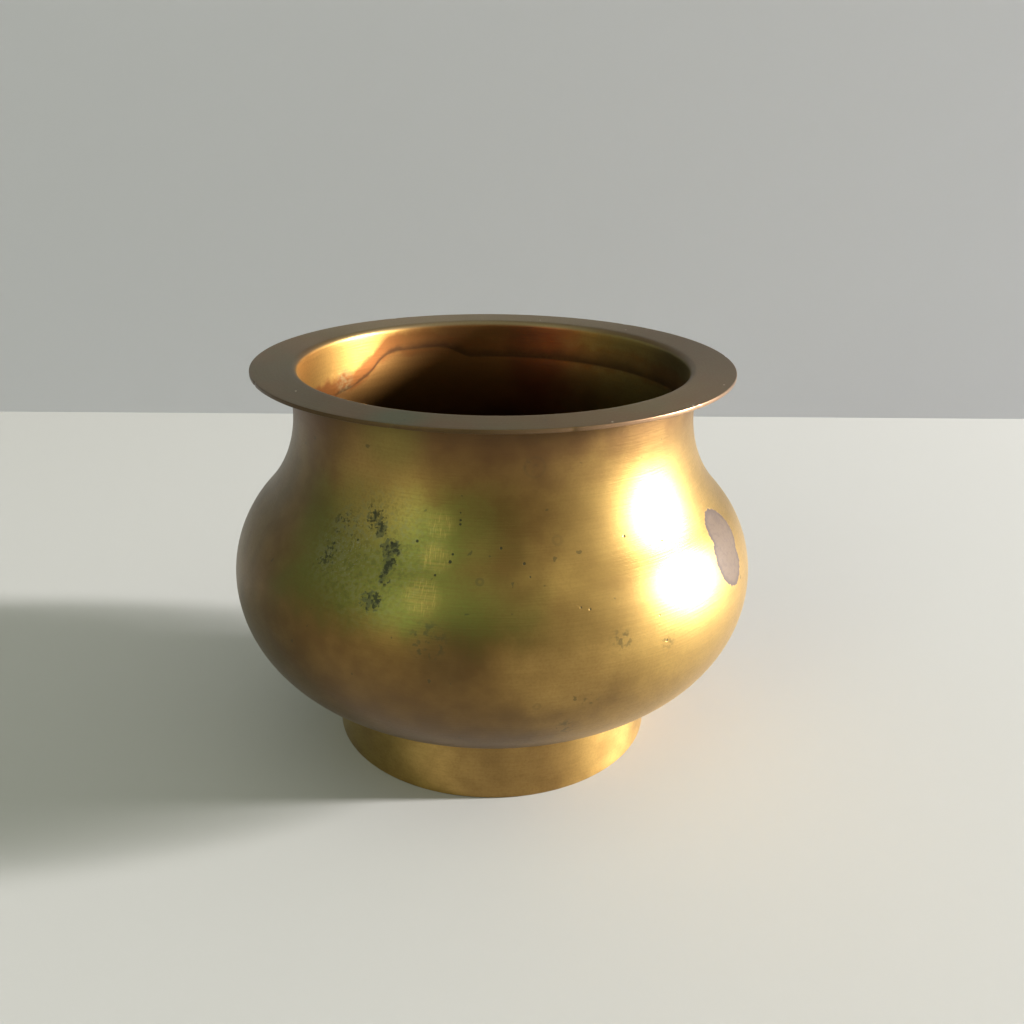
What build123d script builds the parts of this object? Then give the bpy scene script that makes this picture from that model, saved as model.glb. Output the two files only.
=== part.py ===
from build123d import *
import math
import os

# Brass water pot (lota): a squat turned body on a foot ring, with a straight neck and a wide flat lip.
# It is brazed together from turned pieces. The pot stands on z = 0 and its axis is the Z axis.

# Driving dimensions, mm
belly_radius = 50.0
belly_height = 35.2  # of the widest circle
belly_arc_radius = 22.0  # the belly's curve, seen in section
neck_radius = 37.3  # outside
waist_height = 67.2  # where the shoulder's curve runs out into the straight neck
overall_height = 75.0
lip_radius = 44.4
foot_radius = 31.8  # outside, at the floor
foot_bore_radius = 29.8
wall = 1.2

# Small details, mm
lip_edge = 0.7  # thickness at the lip's rim
lip_root = 1.1  # thickness where the lip leaves the neck
lip_corner = 0.15  # rounding of the two corners of the rim
under_lip_fillet = 1.5
foot_taper = 0.6  # how far the ring's outside leans in on its way up to the bowl
foot_corner = 0.3
seam_height = 0.5  # of each brazed seam
braze_fillet = 1.2

# The body's section is three arcs, each tangent to the next: bottom, belly and neck.
belly_centre = (belly_radius - belly_arc_radius, belly_height)
neck_offset = neck_radius - belly_centre[0]
neck_rise = waist_height - belly_height
neck_arc_radius = (neck_offset**2 + neck_rise**2 - belly_arc_radius**2) / (
    2 * (belly_arc_radius - neck_offset)
)
neck_centre = (neck_radius + neck_arc_radius, waist_height)
shoulder_angle = math.degrees(math.atan2(neck_rise, neck_offset + neck_arc_radius))

# The bottom's arc has its centre on the axis and meets the belly's arc over the foot ring's bore.
base_sine = (foot_bore_radius - belly_centre[0]) / belly_arc_radius
base_angle = math.degrees(math.asin(base_sine))
bottom_arc_radius = foot_bore_radius / base_sine
bottom_centre = (
    0,
    belly_height + (bottom_arc_radius - belly_arc_radius) * math.cos(math.radians(base_angle)),
)

base_height = belly_height - belly_arc_radius * math.cos(math.radians(base_angle))
foot_blank_top = base_height + wall  # the ring's height before it is coped to the bowl

belly_seam_low = belly_height - seam_height / 2
belly_seam_high = belly_height + seam_height / 2
neck_seam_low = waist_height - seam_height


def body_region(inset):
    """Everything within the body's surface, or within a surface inset from it, from the axis out."""
    with BuildSketch() as region:
        with BuildLine():
            bottom = CenterArc(bottom_centre, bottom_arc_radius - inset, -90, base_angle)
            CenterArc(
                belly_centre,
                belly_arc_radius - inset,
                base_angle - 90,
                90 - base_angle + shoulder_angle,
            )
            neck = CenterArc(
                neck_centre,
                neck_arc_radius + inset,
                180 + shoulder_angle,
                -shoulder_angle,
            )
            Polyline(
                neck @ 1,
                (neck_radius - inset, overall_height),
                (0, overall_height),
                bottom @ 0,
            )
        make_face()
    return region.sketch


def draw_wall(low, high):
    """Adds the slice of the body's wall between two heights to the sketch being built."""
    add(body_region(0))
    add(body_region(wall), mode=Mode.SUBTRACT)
    with Locations((0, low)):
        Rectangle(belly_radius, high - low, align=Align.MIN, mode=Mode.INTERSECT)


def save(piece, label):
    piece.part.label = label
    export_step(piece.part, f"parts/{label}.step")


os.makedirs("parts", exist_ok=True)

# Lip and neck: one turned collar. Its mouth edge is rounded over the wall's full thickness.
with BuildPart() as collar:
    with BuildSketch(Plane.XZ) as collar_section:
        draw_wall(waist_height, overall_height)
        with BuildLine():
            Polyline(
                (neck_radius, overall_height),
                (lip_radius, overall_height),
                (lip_radius, overall_height - lip_edge),
                (neck_radius, overall_height - lip_root),
                close=True,
            )
        make_face()
        corners = collar_section.vertices()
        mouth_corner = corners.sort_by_distance((neck_radius - wall, overall_height))[0]
        root_corner = corners.sort_by_distance((neck_radius, overall_height - lip_root))[0]
        rim_corners = corners.group_by(Axis.X)[-1]
        fillet(mouth_corner, wall)
        fillet(root_corner, under_lip_fillet)
        fillet(rim_corners, lip_corner)
    revolve(axis=Axis.Z)
save(collar, "lip_and_neck_collar")

# Shoulder: from the seam at the neck down to the seam around the belly.
with BuildPart() as shoulder:
    with BuildSketch(Plane.XZ):
        draw_wall(belly_seam_high, neck_seam_low)
    revolve(axis=Axis.Z)
save(shoulder, "shoulder_shell")

# Bowl: the lower half, closed at the bottom.
with BuildPart() as bowl:
    with BuildSketch(Plane.XZ):
        draw_wall(0, belly_seam_low)
    revolve(axis=Axis.Z)
save(bowl, "bowl_shell")

# Brazed seams: rings of spelter scraped flush with the shells, inside and out.
with BuildPart() as neck_seam:
    with BuildSketch(Plane.XZ):
        draw_wall(neck_seam_low, waist_height)
    revolve(axis=Axis.Z)
save(neck_seam, "neck_braze_seam")

with BuildPart() as belly_seam:
    with BuildSketch(Plane.XZ):
        draw_wall(belly_seam_low, belly_seam_high)
    revolve(axis=Axis.Z)
save(belly_seam, "belly_braze_seam")

# Foot: a ring with a straight bore and a slightly flared outside, coped to the bowl's curve.
with BuildPart() as foot:
    with BuildSketch(Plane.XZ) as foot_section:
        with BuildLine():
            Polyline(
                (foot_bore_radius, 0),
                (foot_radius, 0),
                (foot_radius - foot_taper, foot_blank_top),
                (foot_bore_radius, foot_blank_top),
                close=True,
            )
        make_face()
        fillet(foot_section.vertices().group_by(Axis.Y)[0], foot_corner)
        add(body_region(0), mode=Mode.SUBTRACT)
    revolve(axis=Axis.Z)
save(foot, "foot_ring")

# Braze fillet: fills the hidden corner between the foot ring's bore and the bowl's underside.
with BuildPart() as foot_braze:
    with BuildSketch(Plane.XZ):
        with Locations((foot_bore_radius, base_height)):
            Rectangle(braze_fillet, 2 * braze_fillet, align=(Align.MAX, Align.CENTER))
        with Locations((foot_bore_radius - braze_fillet, base_height - braze_fillet)):
            Circle(braze_fillet, mode=Mode.SUBTRACT)
        add(body_region(0), mode=Mode.SUBTRACT)
    revolve(axis=Axis.Z)
save(foot_braze, "foot_braze_fillet")
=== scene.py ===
import math

import bpy
import numpy as np
from mathutils import Matrix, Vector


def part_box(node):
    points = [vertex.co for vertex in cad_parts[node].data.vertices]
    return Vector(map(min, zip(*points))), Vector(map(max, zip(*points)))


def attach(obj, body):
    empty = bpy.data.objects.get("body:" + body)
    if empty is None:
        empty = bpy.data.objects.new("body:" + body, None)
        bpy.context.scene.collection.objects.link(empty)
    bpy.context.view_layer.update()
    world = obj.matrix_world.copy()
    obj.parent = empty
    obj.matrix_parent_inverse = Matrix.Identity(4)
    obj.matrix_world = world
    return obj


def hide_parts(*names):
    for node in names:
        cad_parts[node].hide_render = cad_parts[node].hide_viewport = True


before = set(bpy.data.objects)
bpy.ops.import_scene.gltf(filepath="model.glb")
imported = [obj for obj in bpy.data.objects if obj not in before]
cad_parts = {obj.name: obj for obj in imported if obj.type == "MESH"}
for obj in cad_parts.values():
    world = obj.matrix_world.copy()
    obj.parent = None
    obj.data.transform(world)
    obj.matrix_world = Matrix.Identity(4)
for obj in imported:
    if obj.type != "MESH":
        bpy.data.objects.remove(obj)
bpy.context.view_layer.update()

# Old brass water pot (lota) on a pale floor, lit by one large low window on its right.
# Six of the seven CAD pieces are replaced by finely turned meshes with the same section. The seventh, the
# braze inside the foot, stays and only gets a material.
# Sizes are in millimetres until a mesh or camera is made from them, and lights are in metres.
# Azimuth 0 is -Y, towards the camera, and 90 is +X.
MM = 0.001


def low_corner(node):
    """A CAD node's lowest corner, in mm."""
    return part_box(node)[0] / MM


def high_corner(node):
    """A CAD node's highest corner, in mm."""
    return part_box(node)[1] / MM


# Driving dimensions from the frame
POT_TOP = high_corner("lip_and_neck_collar").z
LIP_RADIUS = high_corner("lip_and_neck_collar").x
WAIST_HEIGHT = low_corner("lip_and_neck_collar").z
NECK_RADIUS = high_corner("neck_braze_seam").x
NECK_SEAM_LOW = low_corner("neck_braze_seam").z
BELLY_RADIUS = high_corner("belly_braze_seam").x
BELLY_SEAM_HIGH = high_corner("belly_braze_seam").z
BELLY_SEAM_LOW = low_corner("belly_braze_seam").z
BELLY_HEIGHT = (BELLY_SEAM_LOW + BELLY_SEAM_HIGH) / 2
FOOT_RADIUS = high_corner("foot_ring").x
FOOT_TOP = high_corner("foot_ring").z
FOOT_BORE = high_corner("foot_braze_fillet").x

# The rest of the section, as in the CAD
WALL = 1.2
MOUTH_RADIUS = NECK_RADIUS - WALL
BELLY_ARC = 22.0
LIP_EDGE = 0.7
LIP_ROOT = 1.1
LIP_CORNER = 0.15
UNDER_LIP_FILLET = 1.5
FOOT_TAPER = 0.6
FOOT_CORNER = 0.3

# Mesh detail
TURN_STEPS = 480
RIM_STEPS = 960  # the lip's, more for its dents
CURVE_STEP = 0.9  # between points along the section
AXIS_RADIUS = 1.0  # nearer the axis than this, the surface has no wobble
SHARP_ANGLE = 40  # degrees, edges sharper than this aren't shaded smooth

# How far from round the hand-turned body is from its belly up, and the waves that make it so: how many
# round the pot, the height that turns each by a radian, its phase and its share
WOBBLE = 0.05
WAVES = (
    (2, math.inf, 0.4, 1.0),
    (3, 19, 0.0, 0.6),
    (5, -11, 0.0, 0.4),
)

# The small dents in the rim: width, how far in they reach, and each one's azimuth and depth
NICK_WIDTH = 0.6
NICK_REACH = 1.0
NICKS = (
    (15.5, 0.12),
    (47, 0.10),
    (-66, 0.15),
    (-20, 0.10),
    (95, 0.12),
    (140, 0.25),
    (-150, 0.20),
)

# ---------------------------------------------------------------- section

belly_centre = (BELLY_RADIUS - BELLY_ARC, BELLY_HEIGHT)
neck_offset = NECK_RADIUS - belly_centre[0]
neck_rise = WAIST_HEIGHT - BELLY_HEIGHT
NECK_ARC = (neck_offset**2 + neck_rise**2 - BELLY_ARC**2) / (2 * (BELLY_ARC - neck_offset))
neck_centre = (NECK_RADIUS + NECK_ARC, WAIST_HEIGHT)
shoulder_angle = math.atan2(neck_rise, neck_offset + NECK_ARC)
base_sine = (FOOT_BORE - belly_centre[0]) / BELLY_ARC
base_angle = math.asin(base_sine)
BOTTOM_ARC = FOOT_BORE / base_sine
bottom_centre = (0, BELLY_HEIGHT + (BOTTOM_ARC - BELLY_ARC) * math.cos(base_angle))


def arc(centre, radius, start, end, step=CURVE_STEP):
    """Points (r, z) along an arc, both ends included, about one step apart."""
    count = max(3, math.ceil(abs(end - start) * radius / step))
    angles = np.linspace(start, end, count + 1)
    return np.stack(
        [centre[0] + radius * np.cos(angles), centre[1] + radius * np.sin(angles)],
        axis=1,
    )


def body_curve(inset):
    """The body's surface from the axis at the bottom up to the waist, or a surface inset from it."""
    quarter = math.pi / 2
    return np.concatenate(
        [
            arc(bottom_centre, BOTTOM_ARC - inset, -quarter, base_angle - quarter),
            arc(belly_centre, BELLY_ARC - inset, base_angle - quarter, shoulder_angle)[1:],
            arc(neck_centre, NECK_ARC + inset, math.pi + shoulder_angle, math.pi)[1:],
        ]
    )


def cut(curve, low, high):
    """The part of a rising curve between two heights, with a point exactly on each that it crosses."""
    r, z = curve.T
    start = max(low, z[0])
    ends = [(np.interp(height, z, r), height) for height in (start, high)]
    return np.concatenate([ends[:1], curve[(z > start) & (z < high)], ends[1:]])


def rounded(corners):
    """A path of straight runs through (r, z, radius) corners, each rounded by its radius.

    The first and last corners are the path's ends, and stay sharp.
    """
    places = np.array([corner[:2] for corner in corners], float)
    radii = [corner[2] for corner in corners]
    points = [places[0]]
    for before, corner, after, radius in zip(places, places[1:], places[2:], radii[1:]):
        back = before - corner
        ahead = after - corner
        back /= np.linalg.norm(back)
        ahead /= np.linalg.norm(ahead)
        half = math.acos(np.clip(back @ ahead, -1, 1)) / 2
        middle = (back + ahead) / np.linalg.norm(back + ahead)
        centre = corner + middle * radius / math.sin(half)
        touch = [corner + way * radius / math.tan(half) - centre for way in (back, ahead)]
        start = math.atan2(touch[0][1], touch[0][0])
        turn = math.atan2(touch[1][1], touch[1][0]) - start
        turn = (turn + math.pi) % (2 * math.pi) - math.pi
        points.extend(arc(centre, radius, start, start + turn, min(CURVE_STEP, radius / 4)))
    points.append(places[-1])
    return np.array(points)


def fill_runs(path):
    """The same path with no two points further apart than CURVE_STEP."""
    filled = [path[:1]]
    for start, end in zip(path, path[1:]):
        count = max(1, math.ceil(np.linalg.norm(end - start) / CURVE_STEP))
        filled.append(start + (end - start) * np.linspace(0, 1, count + 1)[1:, None])
    return np.concatenate(filled)


outer_body = body_curve(0)
inner_body = body_curve(WALL)


def wall_slice(low, high):
    """The section of the body's wall between two heights, and which point of it starts the inner face."""
    outside = cut(outer_body, low, high)
    inside = cut(inner_body, low, high)
    return np.concatenate([outside, inside[::-1]]), len(outside)


def collar_section():
    """The lip and straight neck's section, and which point of it starts the inner face."""
    under = POT_TOP - LIP_ROOT
    outside = rounded(
        [
            (NECK_RADIUS, WAIST_HEIGHT, 0),
            (NECK_RADIUS, under, UNDER_LIP_FILLET),
            (LIP_RADIUS, POT_TOP - LIP_EDGE, LIP_CORNER),
            (LIP_RADIUS, POT_TOP, LIP_CORNER),
            (MOUTH_RADIUS, POT_TOP, WALL),
            (MOUTH_RADIUS, WAIST_HEIGHT, 0),
        ]
    )
    path = fill_runs(outside)
    from_corner = np.abs(path[:, 0] - MOUTH_RADIUS) + np.abs(path[:, 1] - POT_TOP)
    return path, int(np.argmin(from_corner))


def foot_section():
    """The foot ring's section. Its top follows the bowl's underside."""
    on_bowl = outer_body[(outer_body[:, 0] > FOOT_BORE) & (outer_body[:, 1] < BELLY_HEIGHT)]
    top_radius = FOOT_RADIUS - FOOT_TAPER
    top = np.interp(top_radius, on_bowl[:, 0], on_bowl[:, 1])
    bore_top = np.interp(FOOT_BORE, on_bowl[:, 0], on_bowl[:, 1])
    outside = rounded(
        [
            (FOOT_BORE, bore_top, 0),
            (FOOT_BORE, 0, FOOT_CORNER),
            (FOOT_RADIUS, 0, FOOT_CORNER),
            (top_radius, top, 0),
        ]
    )
    return fill_runs(outside)


# ---------------------------------------------------------------- meshes


def wobble(angle, z):
    """How far out the surface stands at an angle and height: slow waves that a hand-held tool leaves."""
    waves = sum(share * np.sin(count * angle + z / twist + phase) for count, twist, phase, share in WAVES)
    return WOBBLE * np.clip(z / BELLY_HEIGHT, 0, 1) * waves


def nicked(angle, r, z):
    """How far in the rim is dented at an angle."""
    on_rim = (r > LIP_RADIUS - NICK_REACH) & (z > WAIST_HEIGHT)
    dents = 0
    for azimuth, depth in NICKS:
        away = (angle - math.radians(azimuth - 90) + math.pi) % (2 * math.pi) - math.pi
        dents = dents + depth * np.exp(-((away * LIP_RADIUS / NICK_WIDTH) ** 2))
    return np.where(on_rim, dents, 0)


def lathe(name, node, material, section, inside_from, closed=True, turn_steps=TURN_STEPS):
    """Turns a section (r, z) about the Z axis into a smooth mesh that stands for a CAD node.

    The mesh's point attributes are path, the distance along the section in mm, and inside, which is 1 from
    the section's point inside_from on, the wall's inner face, and 0 before it.
    """
    count = len(section)
    angles = np.linspace(0, 2 * math.pi, turn_steps, endpoint=False)
    r = section[:, 0][None, :]
    z = np.broadcast_to(section[:, 1][None, :], (turn_steps, count))
    uneven = wobble(angles[:, None], z) - nicked(angles[:, None], r, z)
    turned = r + np.where(r > AXIS_RADIUS, uneven, 0)
    places = np.stack(
        [turned * np.cos(angles)[:, None], turned * np.sin(angles)[:, None], z],
        axis=2,
    )
    faces = []
    for i in range(turn_steps):
        a, b = i * count, (i + 1) % turn_steps * count
        for j in range(count if closed else count - 1):
            k = (j + 1) % count
            faces.append((a + j, b + j, b + k, a + k))
    mesh = bpy.data.meshes.new(name)
    mesh.from_pydata((places.reshape(-1, 3) * MM).tolist(), [], faces)
    steps = np.linalg.norm(np.diff(section, axis=0), axis=1)
    along = np.concatenate([[0], np.cumsum(steps)])
    inner = (np.arange(count) >= inside_from).astype(float)
    for label, values in (("path", along), ("inside", inner)):
        attribute = mesh.attributes.new(label, "FLOAT", "POINT")
        attribute.data.foreach_set("value", np.tile(values, turn_steps).astype(np.float32))
    mesh.materials.append(material)
    mesh.shade_smooth()
    mesh.set_sharp_from_angle(angle=math.radians(SHARP_ANGLE))
    piece = bpy.data.objects.new(name, mesh)
    bpy.context.scene.collection.objects.link(piece)
    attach(piece, "root")
    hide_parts(node)


# ---------------------------------------------------------------- materials


# For each kind of mix, the number of the Mix node's first input and of its output
MIX_SOCKETS = {"FLOAT": (2, 0), "RGBA": (6, 2)}
GRAIN_IN_ROUGHNESS = 0.12  # how much the grain varies the roughness
QUARTER_TURN = 0.25  # the gloss is drawn out along the section, across the marks of turning
COAT_ROUGHNESS = 0.35


class Brass:
    """One worn brass material. Layers are laid one over the other, each through its own mask."""

    def __init__(self, name, colour, roughness):
        self.material = bpy.data.materials.new(name)
        self.material.use_nodes = True
        self.nodes = self.material.node_tree.nodes
        self.links = self.material.node_tree.links
        self.surface = self.nodes["Principled BSDF"]
        object_place = self.nodes.new("ShaderNodeTexCoord").outputs["Object"]
        self.place = self.scaled(object_place, 1 / MM)
        self.x, self.y, self.z = self.split(self.place)
        squares = self.plus(self.times(self.x, self.x), self.times(self.y, self.y))
        self.radius = self.math("SQRT", squares)
        self.path = self.attribute("path")
        self.inside = self.attribute("inside")
        self.clouds = self.noise(self.place, scale=0.045, detail=3.0)
        self.mottle = self.noise(self.place, scale=0.20, detail=4.0)
        self.crumbs = self.noise(self.place, scale=1.2, detail=4.0)
        self.grain = self.noise(self.place, scale=2.2, detail=2.0)
        self.streaks = self.noise(self.turned(around=2.5, along=0.30), detail=3.0)
        self.lines = self.noise(self.turned(around=5.0, along=3.2), detail=3.0)
        self.colour = colour
        self.roughness = roughness
        self.metallic = 1.0
        self.height = 0.0

    # Nodes

    def put(self, value, socket):
        """Links an output to an input, or sets the input to a constant."""
        if isinstance(value, bpy.types.NodeSocket):
            self.links.new(value, socket)
        elif isinstance(value, tuple) and socket.type == "RGBA":
            socket.default_value = (*value, 1)
        elif value is not None:
            socket.default_value = value

    def math(self, operation, a, b=None):
        node = self.nodes.new("ShaderNodeMath")
        node.operation = operation
        self.put(a, node.inputs[0])
        self.put(b, node.inputs[1])
        return node.outputs[0]

    def times(self, a, b):
        return self.math("MULTIPLY", a, b)

    def plus(self, a, b):
        return self.math("ADD", a, b)

    def vary(self, value, by, amount):
        """A value pushed up and down by a noise about 0.5."""
        return self.plus(value, self.times(self.math("SUBTRACT", by, 0.5), amount))

    def scaled(self, vector, scale):
        node = self.nodes.new("ShaderNodeVectorMath")
        node.operation = "SCALE"
        self.put(vector, node.inputs[0])
        self.put(scale, node.inputs["Scale"])
        return node.outputs["Vector"]

    def split(self, vector):
        node = self.nodes.new("ShaderNodeSeparateXYZ")
        self.put(vector, node.inputs[0])
        return node.outputs

    def attribute(self, name):
        """One of the mesh's point attributes."""
        node = self.nodes.new("ShaderNodeAttribute")
        node.attribute_name = name
        return node.outputs["Fac"]

    def noise(self, vector, scale=1.0, detail=2.0):
        """A noise about 0.5, with scale features to each mm or unit of the vector."""
        node = self.nodes.new("ShaderNodeTexNoise")
        self.put(vector, node.inputs["Vector"])
        self.put(scale, node.inputs["Scale"])
        self.put(detail, node.inputs["Detail"])
        return node.outputs["Fac"]

    def turned(self, around, along):
        """Coordinates for marks of turning: long round the pot, fine along its section."""
        node = self.nodes.new("ShaderNodeCombineXYZ")
        x = self.math("DIVIDE", self.x, self.radius)
        y = self.math("DIVIDE", self.y, self.radius)
        for value, stretch, socket in zip((x, y, self.path), (around, around, along), node.inputs):
            self.put(self.times(value, stretch), socket)
        return node.outputs[0]

    def mixed(self, kind, mask, a, b):
        """a where the mask is 0 and b where it is 1."""
        node = self.nodes.new("ShaderNodeMix")
        node.data_type = kind
        first_input, output = MIX_SOCKETS[kind]
        self.put(mask, node.inputs["Factor"])
        self.put(a, node.inputs[first_input])
        self.put(b, node.inputs[first_input + 1])
        return node.outputs[output]

    # Masks, each 0 to 1

    def step(self, value, low, high):
        """0 at low, 1 at high, smooth between; low may be the larger."""
        node = self.nodes.new("ShaderNodeMapRange")
        node.interpolation_type = "SMOOTHSTEP"
        self.put(value, node.inputs["Value"])
        self.put(low, node.inputs["From Min"])
        self.put(high, node.inputs["From Max"])
        return node.outputs["Result"]

    def band(self, value, low, high, soft):
        """1 between low and high, falling to 0 over the distance soft outside them."""
        return self.times(self.step(value, low - soft, low), self.step(value, high + soft, high))

    def side(self, azimuth, low, high, ragged):
        """0 to 1 as the cosine of the angle from an azimuth goes from low to high; 0 near the axis.

        Ragged is how much slow clouds shift that.
        """
        a = math.radians(azimuth)
        forward = self.plus(self.times(self.x, math.sin(a)), self.times(self.y, -math.cos(a)))
        cosine = self.math("DIVIDE", forward, self.math("MAXIMUM", self.radius, FOOT_BORE))
        return self.step(self.vary(cosine, self.clouds, ragged), low, high)

    def distance(self, point):
        node = self.nodes.new("ShaderNodeVectorMath")
        node.operation = "DISTANCE"
        self.put(self.place, node.inputs[0])
        self.put(point, node.inputs[1])
        return node.outputs["Value"]

    def nearest(self, points):
        """How far the nearest of several points is."""
        least = self.distance(points[0])
        for point in points[1:]:
            least = self.math("MINIMUM", least, self.distance(point))
        return least

    def spot(self, point, radius, soft):
        """1 within radius of a point, falling to 0 over the distance soft."""
        return self.step(self.distance(point), radius + soft, radius)

    def spots(self, places):
        """The most that any of several (point, radius, soft) spots gives."""
        masks = [self.spot(*place) for place in places]
        most = masks[0]
        for mask in masks[1:]:
            most = self.math("MAXIMUM", most, mask)
        return most

    # Layers

    def lay(self, masks, colour=None, strength=1.0, roughness=None, metallic=None, height=0.0):
        """Lays a finish over what is there, where all the masks are; height is in mm."""
        mask = strength
        for part in masks if isinstance(masks, tuple) else (masks,):
            mask = self.times(part, mask)
        if colour is not None:
            self.colour = self.mixed("RGBA", mask, self.colour, colour)
        if roughness is not None:
            self.roughness = self.mixed("FLOAT", mask, self.roughness, roughness)
        if metallic is not None:
            self.metallic = self.mixed("FLOAT", mask, self.metallic, metallic)
        if height:
            self.height = self.plus(self.height, self.times(mask, height))

    def finish(self, coat, drawn_out):
        """Links the layers to the shader, whose gloss is drawn out across the marks of turning."""
        bump = self.nodes.new("ShaderNodeBump")
        bump.inputs["Distance"].default_value = MM
        self.put(self.height, bump.inputs["Height"])
        tangent = self.nodes.new("ShaderNodeTangent")
        tangent.direction_type = "RADIAL"
        tangent.axis = "Z"
        inputs = self.surface.inputs
        self.put(self.colour, inputs["Base Color"])
        self.put(self.vary(self.roughness, self.grain, GRAIN_IN_ROUGHNESS), inputs["Roughness"])
        self.put(self.metallic, inputs["Metallic"])
        self.put(bump.outputs["Normal"], inputs["Normal"])
        self.put(tangent.outputs["Tangent"], inputs["Tangent"])
        inputs["Anisotropic"].default_value = drawn_out
        inputs["Anisotropic Rotation"].default_value = QUARTER_TURN
        inputs["Coat Weight"].default_value = coat
        inputs["Coat Roughness"].default_value = COAT_ROUGHNESS
        return self.material


# Metal, tarnish and painted shade of the outside
CLEAN = (0.64, 0.41, 0.122)
BROWN = (0.165, 0.087, 0.023)
DARK_BROWN = (0.070, 0.045, 0.018)
RED_BROWN = (0.13, 0.062, 0.024)
PURPLE = (0.125, 0.078, 0.037)
OLIVE = (0.150, 0.160, 0.032)
SHADE_OLIVE = (0.075, 0.070, 0.020)
FOOT_GOLD = (0.50, 0.315, 0.095)

# Lip
LIP_GREY = (0.130, 0.087, 0.036)
LIP_BACK = (0.215, 0.165, 0.095)
LIP_GREEN = (0.075, 0.100, 0.050)
LIP_UNDER = (0.085, 0.052, 0.022)
RIM_WEAR_AND_HIGHLIGHT = (0.40, 0.245, 0.145)
SPECK = (0.75, 0.70, 0.60)

# Inside
INSIDE_GOLD = (0.50, 0.285, 0.075)
INSIDE_ORANGE = (0.32, 0.145, 0.040)
INSIDE_BROWN = (0.20, 0.062, 0.026)
INSIDE_OLIVE = (0.38, 0.33, 0.120)
INSIDE_TEAL = (0.030, 0.040, 0.032)
INSIDE_DEEP = (0.014, 0.009, 0.005)
COPPER = (0.17, 0.042, 0.010)
LINE_DIRT_AND_SHADE = (0.030, 0.014, 0.008)
VERDIGRIS = (0.220, 0.185, 0.090)

# Corrosion and stains
CORROSION = (0.050, 0.056, 0.028)
PIT = (0.020, 0.024, 0.009)
HAZE = (0.190, 0.185, 0.090)
PALE_HAZE = (0.290, 0.280, 0.180)
STAIN = (0.110, 0.072, 0.045)
STAIN_EDGE = (0.065, 0.041, 0.030)

# Heights where the tarnish zones outside, and the painted shade under the lip, begin, end or are whole
PURPLE_BELOW = 50
PURPLE_WHOLE = 30
FILM_LOW = 47
FILM_HIGH = 57
RED_ABOVE = 60
UNDER_LIP = 69
BROWN_NECK_LOW = 57
BROWN_NECK_HIGH = 66

# How much of the brown tarnish there is away from the window, and on the side that the window lights, which
# is left clean and golden as painted light
TARNISH_AWAY_FROM_WINDOW = 0.93
TARNISH_ON_WINDOW_SIDE = 0.12

# Sides of the pot: azimuth of the middle, cosines of the angle from it at which a finish begins and is
# whole, and how ragged its border is
# the right, which the window lights: kept clean there as painted light
WINDOW_LIT_SIDE = (72, 0.26, 0.90, 0.9)
# the left, away from the window, darkened with olive as painted shade
SHADED_SIDE = (-98, 0.45, 0.95, 0.3)
FILM_SIDE = (-21, 0.83, 0.965, 0.3)
BROWN_NECK_SIDE = (78, 0.5, 0.95, 0.3)
INSIDE_LEFT = (-108, 0.55, 0.90, 0.5)
INSIDE_BACK_LEFT = (-150, 0.72, 0.97, 0.5)
INSIDE_RIGHT = (110, 0.60, 0.95, 0.5)
INSIDE_FAR_RIGHT = (98, 0.86, 0.99, 0.2)
LINE_RAISED_SIDE = (-152, 0.94, 0.995, 0)
LINE_LOWERED_SIDE = (-105, 0.82, 0.985, 0)
LIP_BACK_SIDE = (178, 0.45, 0.95, 0.5)
RIM_WEAR_AND_HIGHLIGHT_SIDE = (68, 0.30, 0.92, 0.5)
FOOT_SHADE_SIDE = (-80, 0.30, 1.0, 0.9)
FOOT_RED_SIDE = (4, 0.88, 1.0, 0.2)

# Heights inside where the near black, partly oxide and partly painted shade, is whole away from the right,
# and where it begins and is whole all round
DEEP_WHOLE = 40
BOTTOM_BELOW = 42
BOTTOM_WHOLE = 22

# How far the line inside the neck stands above the waist on its raised side, and below on its lowered side.
# On the left the line is bent to follow the edge of the right rim's shadow, so that shadow's edge is painted
# there.
LINE_RAISED = 2.6
LINE_LOWERED = 3.8

# The verdigris crust inside the neck, low on its left
CRUST_AZIMUTH = -121
CRUST_HEIGHT = 65.8

# The green patch on the lip
LIP_PATCH_AZIMUTH = -21
LIP_PATCH_FROM_AXIS = 41

# Azimuth, height, radius and softness of single soft patches outside
GOLD_PATCH = (-30, 63, 4, 10)
NECK_FILM_PATCH = (-26, 70, 2, 6)
DARK_PATCH = (-8, 40, 2, 7)
HAZE_PATCH = (-28, 52, 5, 10)
PALE_HAZE_PATCH = (-34, 52.5, 2, 6)
STAIN_TOP_PATCH = (66, 50.6, 0.8, 1.0)

# The same for the corroded spots, on the front left
BLOTS = (
    (-28.5, 57.2, 0.3, 3.2),
    (-26.6, 55.6, 0.5, 1.2),
    (-23.2, 53.4, 0.8, 1.8),
    (-22.6, 51.4, 0.5, 1.6),
    (-22.8, 49.6, 0.2, 1.8),
    (-24.5, 46.4, 1.1, 1.8),
)
# And for the paler, more scattered spots to their left
FAINT_BLOTS = (
    (-36.5, 55.0, 0.4, 4.5),
    (-38, 50.5, 0.0, 5.0),
)
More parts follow.
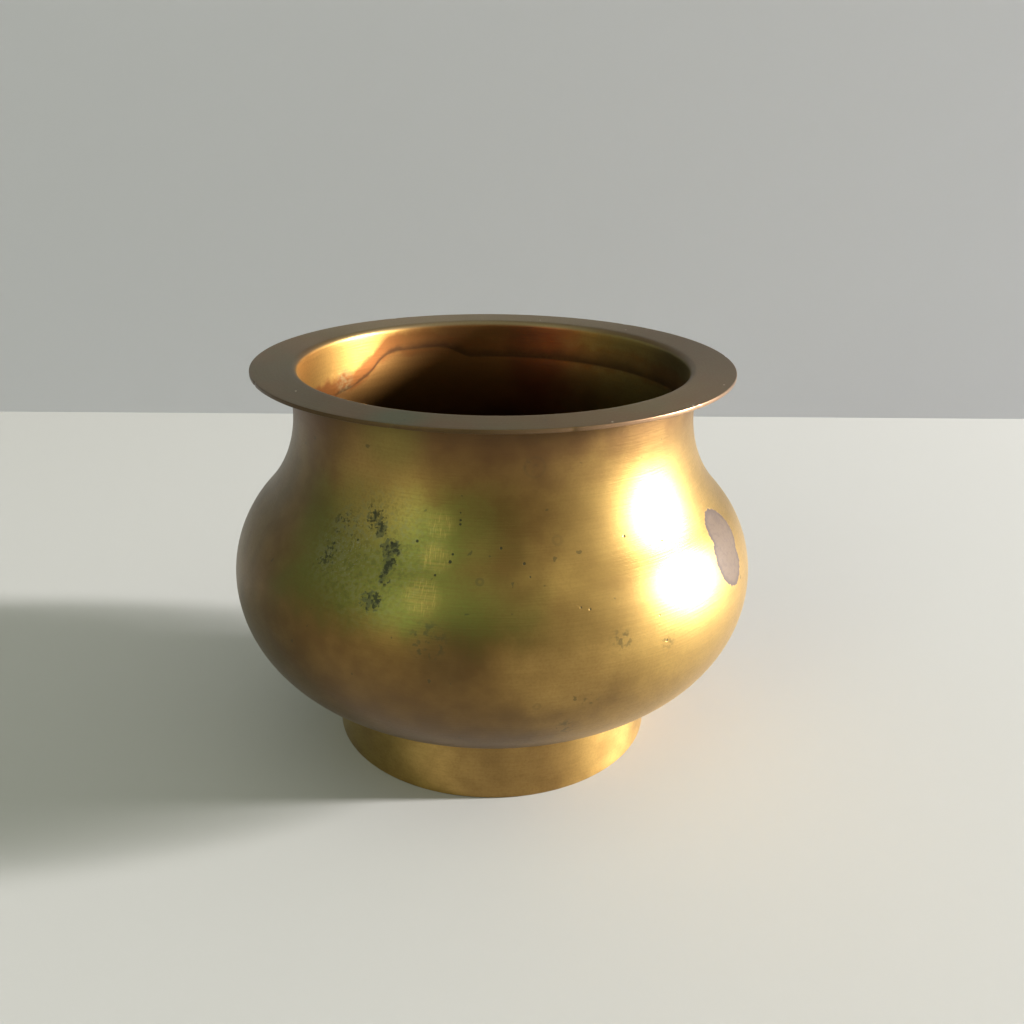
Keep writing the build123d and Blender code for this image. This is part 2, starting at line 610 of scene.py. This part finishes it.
# Single pits: how softly they end, and the azimuth, height and radius of each
PIT_SOFTNESS = 0.14
PITS = (
    (-31.8, 53.5, 0.12),
    (-37.7, 52.2, 0.15),
    (-23.1, 54.1, 0.15),
    (-17.2, 54.9, 0.15),
    (-7.7, 59.5, 0.07),
    (-7.6, 58.4, 0.12),
    (-7.6, 57.8, 0.13),
    (1.7, 54.6, 0.15),
    (-8.8, 53.6, 0.12),
    (-9.2, 52.6, 0.19),
    (-12.0, 50.8, 0.11),
    (6.6, 52.5, 0.17),
    (7.6, 50.8, 0.08),
    (31.2, 54.3, 0.17),
    (41.4, 52.2, 0.10),
    (17.0, 46.4, 0.10),
    (18.8, 46.0, 0.12),
    (33.7, 42.8, 0.08),
    (34.8, 38.4, 0.18),
)
# Spots rubbed clean in the green film, in the same way
RUBBED_SOFTNESS = 2.5
RUBBED = (
    (-12.0, 57.5, 0.8),
    (-12.5, 53.0, 1.0),
    (-14.0, 48.0, 1.4),
)
# Rings left by drops: how wide and soft their lines are, and the azimuth, height, radius and strength of each
RING_WIDTH = 0.2
RING_SOFTNESS = 0.25
RINGS = (
    (9.9, 66.6, 1.6, 0.13),
    (14.5, 55.3, 0.7, 0.16),
    (-2.7, 50.3, 0.5, 0.30),
    (8.1, 31.0, 0.5, 0.15),
)
# Smudges left by drops: how softly they end, and the azimuth, height and radius of each
SMUDGE_SOFTNESS = 1.5
SMUDGES = (
    (24.4, 40.5, 1.2),
    (34.8, 38.4, 0.8),
    (-12.0, 42.0, 2.2),
    (15.0, 25.4, 1.2),
    (18.3, 31.0, 0.6),
    (8.7, 67.0, 0.2),
)
# Pale specks on the lip: their size, and the azimuth and distance from the axis of each
SPECK_RADIUS = 0.10
SPECK_SOFTNESS = 0.12
LIP_SPECKS = (
    (66, 43.0),
    (46, 43.9),
    (24, 43.6),
    (-54, 40.2),
    (165, 39.0),
    (135, 39.5),
)
# The grey patch, of two drops run together: azimuth and height of each, and their radius
STAIN_DROPS = (
    (61.0, 45.0),
    (63.8, 48.6),
)
STAIN_RADIUS = 4.8


def around(azimuth, radius, z):
    """The point at an azimuth, radius and height."""
    a = math.radians(azimuth)
    return (radius * math.sin(a), -radius * math.cos(a), z)


def on_body(azimuth, z):
    """The point of the body's outside at an azimuth and height."""
    rising = outer_body[outer_body[:, 1] > FOOT_TOP]
    return around(azimuth, np.interp(z, rising[:, 1], rising[:, 0]), z)


def patches(brass, places):
    """The mask of spots outside, each an azimuth, height, radius and softness."""
    return brass.spots([(on_body(azimuth, z), radius, soft) for azimuth, z, radius, soft in places])


def equally_soft(places, soft):
    """The same softness added to each place."""
    return [(*place, soft) for place in places]


def lay_tarnish(brass, amount):
    """Brown in front and on the left, and thin on the right, the side that the window lights, where the clean
    gold is painted light. Returns its mask.
    """
    window_lit = brass.side(*WINDOW_LIT_SIDE)
    patchy = brass.step(brass.mottle, 0.3, 0.7)
    # painted light: little tarnish on the side the window lights, so that it shows clean and golden
    left_on = brass.mixed("FLOAT", window_lit, TARNISH_AWAY_FROM_WINDOW, TARNISH_ON_WINDOW_SIDE)
    tarnish = brass.times(brass.vary(left_on, patchy, 0.14), amount)
    brass.lay(tarnish, BROWN, roughness=0.43)
    brass.lay(brass.step(brass.streaks, 0.35, 0.75), BROWN, strength=0.08)
    return tarnish


def lay_zones(brass, tarnish):
    """Purple-brown below, olive painted shade on the left, green film in front on the left, red-brown on the
    neck that is partly painted shade under the lip, darker painted shade just under the lip, and single
    patches.
    """
    cloudy_height = brass.plus(brass.z, brass.times(brass.clouds, 16))
    low = brass.step(cloudy_height, PURPLE_BELOW, PURPLE_WHOLE)
    brass.lay((low, tarnish), PURPLE, strength=0.8)
    # painted shade: olive darkening on the left, the side away from the window
    brass.lay(brass.side(*SHADED_SIDE), SHADE_OLIVE, strength=0.45)
    film_heights = brass.band(brass.vary(brass.z, brass.mottle, 8), FILM_LOW, FILM_HIGH, soft=8)
    brass.lay((brass.side(*FILM_SIDE), film_heights), OLIVE, strength=0.9)
    # red-brown tarnish on the neck, laid all round so that on the right it is also painted shade under the
    # lip
    upper = brass.step(brass.vary(brass.z, brass.mottle, 7), RED_ABOVE, POT_TOP - 2)
    brass.lay(upper, RED_BROWN, strength=0.93, roughness=0.46)
    # painted shade: the lip's shadow on the neck, darkest just under the lip
    shaded = brass.step(brass.vary(brass.z, brass.mottle, 3), UNDER_LIP, UNDER_LIP + 4)
    brass.lay(shaded, DARK_BROWN, strength=0.55)
    brown_neck = brass.step(brass.z, BROWN_NECK_LOW, BROWN_NECK_HIGH)
    brass.lay((brass.side(*BROWN_NECK_SIDE), brown_neck), BROWN, strength=0.35, roughness=0.45)
    brass.lay(patches(brass, [GOLD_PATCH]), CLEAN, strength=0.36)
    brass.lay(patches(brass, [NECK_FILM_PATCH]), OLIVE, strength=0.4)
    rubbed = patches(brass, equally_soft(RUBBED, RUBBED_SOFTNESS))
    scratches = brass.noise(brass.turned(around=260.0, along=0.5))
    brass.lay((rubbed, brass.step(brass.lines, 0.3, 0.6)), CLEAN, strength=0.18)
    brass.lay((rubbed, brass.step(scratches, 0.52, 0.66)), CLEAN, strength=0.25)
    brass.lay(patches(brass, [DARK_PATCH]), DARK_BROWN, strength=0.45)


def lay_inside(brass):
    """Gold on the left of the straight neck, where the window shines in, partly clean brass and partly
    painted light; darker colours on the rest, near black deeper down and darkest at the bottom, partly oxide
    and partly painted shade.
    """
    raised = brass.times(brass.side(*LINE_RAISED_SIDE), LINE_RAISED)
    lowered = brass.times(brass.side(*LINE_LOWERED_SIDE), LINE_LOWERED)
    line_shift = brass.math("SUBTRACT", lowered, raised)
    above_line = brass.plus(brass.math("SUBTRACT", brass.z, WAIST_HEIGHT), line_shift)
    ragged = brass.vary(above_line, brass.mottle, 2.5)
    below = brass.step(ragged, 0.6, -0.9)
    left = brass.side(*INSIDE_LEFT)
    right = brass.side(*INSIDE_RIGHT)
    brass.lay(brass.inside, INSIDE_BROWN, roughness=0.42)
    brass.lay((brass.inside, right), INSIDE_OLIVE)
    brass.lay((brass.inside, brass.side(*INSIDE_BACK_LEFT)), INSIDE_ORANGE, strength=0.75)
    # painted light and shade: full gold above the line, which on the left follows the edge of the right rim's
    # shadow, and weaker gold below it
    brass.lay((brass.inside, left, brass.mixed("FLOAT", below, 1.0, 0.32)), INSIDE_GOLD)
    far_right = brass.side(*INSIDE_FAR_RIGHT)
    brass.lay((brass.inside, far_right, brass.step(above_line, -2, 1)), INSIDE_TEAL, strength=0.5)
    # near black deeper down, except on the right: partly oxide and partly painted shade
    deep = brass.step(brass.vary(brass.z, brass.clouds, 18), WAIST_HEIGHT - 4, DEEP_WHOLE)
    brass.lay((brass.inside, deep, brass.mixed("FLOAT", right, 0.97, 0.08)), INSIDE_DEEP)
    # darker still towards the bottom, partly oxide and partly painted shade
    bottom = brass.step(brass.vary(brass.z, brass.clouds, 12), BOTTOM_BELOW, BOTTOM_WHOLE)
    brass.lay((brass.inside, bottom), INSIDE_DEEP, strength=0.95)
    reddened = brass.band(brass.vary(ragged, brass.mottle, 2.5), 0.2, 2.8, soft=1.8)
    brass.lay((brass.inside, reddened, brass.mixed("FLOAT", left, 0.4, 0.85)), COPPER, roughness=0.5)
    # a dark line, partly dirt at the neck's joint and partly painted shade along the edge of the rim's shadow
    # on the left
    reach = brass.mixed("FLOAT", left, 3.2, 0.9)
    line_dirt_and_shade = brass.times(brass.step(above_line, -0.4, 0.1), brass.step(ragged, reach, 0.0))
    brass.lay((brass.inside, line_dirt_and_shade), LINE_DIRT_AND_SHADE, strength=0.8, roughness=0.6)
    crust = brass.spot(around(CRUST_AZIMUTH, MOUTH_RADIUS, CRUST_HEIGHT), radius=1.2, soft=2.2)
    crumbly = brass.step(brass.crumbs, 0.35, 0.6)
    brass.lay((brass.inside, crust, crumbly), VERDIGRIS, strength=0.5, roughness=0.6)


def lay_lip(brass):
    """Matt grey-brown on top, with green and red patches, specks, and a rim bright on the right, partly wear
    and partly painted highlight.
    """
    top = brass.times(
        brass.step(brass.z, POT_TOP - LIP_ROOT, POT_TOP - 0.5),
        brass.step(brass.radius, MOUTH_RADIUS - 0.3, MOUTH_RADIUS + 0.3),
    )
    brass.lay(top, LIP_GREY, roughness=0.50)
    brass.lay((top, brass.step(brass.mottle, 0.35, 0.7)), RED_BROWN, strength=0.35)
    brass.lay((top, brass.step(brass.clouds, 0.45, 0.60)), LIP_GREEN, strength=0.25)
    brass.lay((top, brass.side(*LIP_BACK_SIDE)), LIP_BACK, strength=0.75)
    green_place = around(LIP_PATCH_AZIMUTH, LIP_PATCH_FROM_AXIS, POT_TOP)
    brass.lay((top, brass.spot(green_place, radius=1.5, soft=5.5)), LIP_GREEN, strength=0.75)
    specks = [(around(*place, POT_TOP), SPECK_RADIUS, SPECK_SOFTNESS) for place in LIP_SPECKS]
    brass.lay(brass.spots(specks), SPECK, roughness=0.6)
    rim = brass.times(
        brass.step(brass.z, POT_TOP - 1.2, POT_TOP - 0.9),
        brass.step(brass.radius, LIP_RADIUS - 0.22, LIP_RADIUS - 0.04),
    )
    brass.lay(rim, LIP_UNDER, roughness=0.45)
    # partly wear, partly painted highlight: the rim bright on the side the window lights
    brass.lay((rim, brass.side(*RIM_WEAR_AND_HIGHLIGHT_SIDE)), RIM_WEAR_AND_HIGHLIGHT, roughness=0.34)


def lay_foot_wear(brass):
    """Olive and slightly rougher on the left, away from the window, where the olive is painted shade; browner
    at the top just under the bowl; and redder in front.
    """
    # painted shade: olive on the left of the foot, away from the window
    brass.lay(brass.side(*FOOT_SHADE_SIDE), OLIVE, strength=0.5, roughness=0.45)
    brass.lay(brass.step(brass.mottle, 0.4, 0.7), BROWN, strength=0.35)
    brass.lay(brass.side(*FOOT_RED_SIDE), RED_BROWN, strength=0.35)
    under_bowl = brass.step(brass.vary(brass.z, brass.mottle, 3), FOOT_TOP - 4, FOOT_TOP - 0.5)
    brass.lay(under_bowl, BROWN, strength=0.5)


def lay_corrosion(brass):
    """Old corrosion on the front left: a dull haze, clusters of specks, and single pits."""
    haze = patches(brass, [HAZE_PATCH])
    brass.lay((haze, brass.step(brass.crumbs, 0.50, 0.60)), HAZE, strength=0.40, roughness=0.50)
    brass.lay((haze, brass.step(brass.crumbs, 0.47, 0.37)), CORROSION, strength=0.30)
    flecks = brass.step(brass.noise(brass.place, scale=3.0), 0.58, 0.68)
    brass.lay((patches(brass, [PALE_HAZE_PATCH]), flecks), PALE_HAZE, strength=0.45, roughness=0.55)
    eaten = patches(brass, BLOTS)
    faint = patches(brass, FAINT_BLOTS)
    crust = brass.step(brass.vary(brass.vary(eaten, brass.crumbs, 2.4), brass.mottle, 1.2), 0.65, 1.05)
    brass.lay(crust, CORROSION, strength=0.58, roughness=0.6, metallic=0.8)
    brass.lay((faint, brass.step(brass.crumbs, 0.48, 0.56)), HAZE, strength=0.4, roughness=0.55)
    fine = brass.noise(brass.place, scale=1.7, detail=3.0)
    clustered = brass.vary(fine, brass.noise(brass.place, scale=0.5), 0.7)
    most = brass.math("MAXIMUM", eaten, brass.times(faint, 0.6))
    specks = brass.step(brass.plus(clustered, brass.times(most, 0.17)), 0.62, 0.76)
    near = brass.step(most, 0.0, 0.6)
    brass.lay((specks, near), PIT, strength=0.75, roughness=0.7, metallic=0.7, height=-0.03)
    pits = patches(brass, equally_soft(PITS, PIT_SOFTNESS))
    brass.lay(pits, PIT, strength=0.85, roughness=0.7, metallic=0.7, height=-0.04)


def lay_drops(brass):
    """Faint rings and smudges that drops of water left."""
    for azimuth, z, radius, strength in RINGS:
        away = brass.distance(on_body(azimuth, z))
        ring = brass.band(away, radius - RING_WIDTH / 2, radius + RING_WIDTH / 2, RING_SOFTNESS)
        brass.lay(ring, CORROSION, strength=strength)
    smudges = patches(brass, equally_soft(SMUDGES, SMUDGE_SOFTNESS))
    strokes = brass.step(brass.noise(brass.place, scale=0.9, detail=3.0), 0.48, 0.62)
    brass.lay((smudges, strokes), CORROSION, strength=0.5)
    scattered = brass.step(brass.noise(brass.place, scale=0.55), 0.735, 0.76)
    brass.lay((scattered, brass.math("SUBTRACT", 1.0, brass.inside)), CORROSION, strength=0.5)


def lay_stain(brass):
    """The long grey patch on the right, with a ragged, darker outline."""
    away = brass.nearest([on_body(*drop) for drop in STAIN_DROPS])
    away = brass.vary(brass.vary(away, brass.mottle, 0.8), brass.crumbs, 1.2)
    brass.lay(brass.step(away, STAIN_RADIUS + 0.3, STAIN_RADIUS), STAIN_EDGE, roughness=0.7, metallic=0.3)
    brass.lay(brass.step(away, STAIN_RADIUS - 0.2, STAIN_RADIUS - 1.2), STAIN)
    within = brass.step(away, STAIN_RADIUS, STAIN_RADIUS - 1)
    brass.lay((within, brass.step(brass.crumbs, 0.50, 0.62)), STAIN_EDGE, strength=0.55)
    brass.lay(patches(brass, [STAIN_TOP_PATCH]), STAIN_EDGE, strength=0.5)


def lay_turning(brass):
    """Fine grooves left by the tool, slightly darker than the metal between them."""
    brass.lay(brass.step(brass.grain, 0.4, 0.7), BROWN, strength=0.15)
    brass.lay(brass.step(brass.lines, 0.35, 0.65), BROWN, strength=0.11, height=0.06)


body_brass = Brass("body_brass", CLEAN, roughness=0.35)
body_tarnish = lay_tarnish(body_brass, amount=1.0)
lay_zones(body_brass, body_tarnish)
lay_inside(body_brass)
lay_lip(body_brass)
lay_turning(body_brass)
lay_drops(body_brass)
lay_corrosion(body_brass)
lay_stain(body_brass)
body_material = body_brass.finish(coat=0.2, drawn_out=0.35)

foot_brass = Brass("foot_brass", FOOT_GOLD, roughness=0.44)
lay_foot_wear(foot_brass)
lay_turning(foot_brass)
foot_material = foot_brass.finish(coat=0.25, drawn_out=0.6)

braze = Brass("braze", CLEAN, roughness=0.45)
lay_tarnish(braze, amount=0.8)
lay_turning(braze)
braze_material = braze.finish(coat=0.0, drawn_out=0.0)

# ---------------------------------------------------------------- pieces

section, inner = collar_section()
lathe(
    "lip_and_neck",
    "lip_and_neck_collar",
    body_material,
    section,
    inner,
    turn_steps=RIM_STEPS,
)

# Name, CAD node, height from, height to and slot of the body's pieces, which all have the same looks
BODY_PIECES = (
    ("neck_seam", "neck_braze_seam", NECK_SEAM_LOW, WAIST_HEIGHT, "braze"),
    ("shoulder", "shoulder_shell", BELLY_SEAM_HIGH, NECK_SEAM_LOW, "body_brass"),
    ("belly_seam", "belly_braze_seam", BELLY_SEAM_LOW, BELLY_SEAM_HIGH, "braze"),
    ("bowl", "bowl_shell", 0, BELLY_SEAM_LOW, "body_brass"),
)
for name, node, low, high, slot in BODY_PIECES:
    section, inner = wall_slice(low, high)
    closed = low > 0  # the bowl's section starts and ends on the axis instead
    lathe(name, node, body_material, section, inner, closed)

section = foot_section()
no_inner_face = len(section)
lathe("foot", "foot_ring", foot_material, section, no_inner_face)

bpy.data.objects["foot_braze_fillet"].material_slots[0].material = braze_material

# ---------------------------------------------------------------- light

LIGHT_HEIGHT = 0.04  # m, what the lights point at
ROOM_COLOUR = (0.97, 1.0, 0.80)
ROOM_LOW = 0.25  # brightness at the floor
ROOM_OVERHEAD = 0.9


def area_light(name, azimuth, elevation, distance, width, height, power, colour):
    """A rectangular light, in metres and watts, that faces the pot and isn't seen itself."""
    light = bpy.data.lights.new(name, "AREA")
    light.shape = "RECTANGLE"
    light.size, light.size_y = width, height
    light.energy = power
    light.color = colour
    lamp = bpy.data.objects.new(name, light)
    a, e = math.radians(azimuth), math.radians(elevation)
    lamp.location = (
        distance * math.sin(a) * math.cos(e),
        -distance * math.cos(a) * math.cos(e),
        distance * math.sin(e) + LIGHT_HEIGHT,
    )
    lamp.rotation_euler = (math.pi / 2 - e, 0, a)
    lamp.visible_camera = False
    bpy.context.scene.collection.objects.link(lamp)


def room_world():
    """A dim, slightly green room, brighter overhead than at the floor."""
    world = bpy.data.worlds.new("room")
    bpy.context.scene.world = world
    world.use_nodes = True
    tree = world.node_tree
    direction = tree.nodes.new("ShaderNodeTexCoord")
    parts = tree.nodes.new("ShaderNodeSeparateXYZ")
    fade = tree.nodes.new("ShaderNodeMapRange")
    fade.interpolation_type = "SMOOTHSTEP"
    fade.inputs["From Min"].default_value = 0.1
    fade.inputs["From Max"].default_value = 0.9
    fade.inputs["To Min"].default_value = ROOM_LOW
    fade.inputs["To Max"].default_value = ROOM_OVERHEAD
    background = tree.nodes["Background"]
    background.inputs["Color"].default_value = (*ROOM_COLOUR, 1)
    tree.links.new(direction.outputs["Generated"], parts.inputs[0])
    tree.links.new(parts.outputs["Z"], fade.inputs["Value"])
    tree.links.new(fade.outputs["Result"], background.inputs["Strength"])


area_light(
    "window",
    azimuth=94,
    elevation=13.3,
    distance=3.0,
    width=0.46,
    height=0.64,
    power=575,
    colour=(1.0, 0.965, 0.93),
)
area_light(
    "room_glow",
    azimuth=-39,
    elevation=25,
    distance=1.2,
    width=0.38,
    height=0.80,
    power=2.2,
    colour=(0.85, 1.0, 0.70),
)
room_world()

# ---------------------------------------------------------------- floor and backdrop

CLOTH_END = 218.0  # how far behind the pot the floor meets the backdrop
FAR = 7500  # how far both go on
FLOOR_COLOUR = (0.44, 0.44, 0.44)
BACKDROP_COLOUR = (0.53, 0.53, 0.585)
STAGE_ROUGHNESS = 0.9


def plain(name, colour):
    """A plain material for the floor or the backdrop."""
    material = bpy.data.materials.new(name)
    material.use_nodes = True
    surface = material.node_tree.nodes["Principled BSDF"]
    surface.inputs["Base Color"].default_value = (*colour, 1)
    surface.inputs["Roughness"].default_value = STAGE_ROUGHNESS
    return material


def stage_plane(name, corners, material):
    """A plane through four corners, which isn't part of the object."""
    mesh = bpy.data.meshes.new(name)
    mesh.from_pydata([(x * MM, y * MM, z * MM) for x, y, z in corners], [], [(0, 1, 2, 3)])
    mesh.materials.append(material)
    plane = bpy.data.objects.new(name, mesh)
    bpy.context.scene.collection.objects.link(plane)


stage_plane(
    "floor",
    ((-FAR, -FAR, 0), (FAR, -FAR, 0), (FAR, CLOTH_END, 0), (-FAR, CLOTH_END, 0)),
    plain("floor", FLOOR_COLOUR),
)
stage_plane(
    "backdrop",
    ((-FAR, CLOTH_END, 0), (FAR, CLOTH_END, 0), (FAR, CLOTH_END, FAR), (-FAR, CLOTH_END, FAR)),
    plain("backdrop", BACKDROP_COLOUR),
)

# ---------------------------------------------------------------- camera

# Where it stands, and the angles by which it looks down, turns to the right and leans, in degrees
CAMERA_BACK = 183.6
CAMERA_HEIGHT = 118.24
CAMERA_PITCH = 21.93
CAMERA_YAW = 1.14
CAMERA_ROLL = 0.74
FIELD_OF_VIEW = 54.23

camera_data = bpy.data.cameras.new("camera")
camera_data.angle = math.radians(FIELD_OF_VIEW)
camera = bpy.data.objects.new("camera", camera_data)
bpy.context.scene.collection.objects.link(camera)
camera.location = (0, -CAMERA_BACK * MM, CAMERA_HEIGHT * MM)
pitch, yaw, roll = (math.radians(v) for v in (CAMERA_PITCH, CAMERA_YAW, CAMERA_ROLL))
aim = Matrix.Rotation(-yaw, 4, "Z") @ Matrix.Rotation(math.pi / 2 - pitch, 4, "X")
camera.rotation_euler = (aim @ Matrix.Rotation(roll, 4, "Z")).to_euler()
bpy.context.scene.camera = camera
bpy.context.scene.view_settings.view_transform = "Standard"
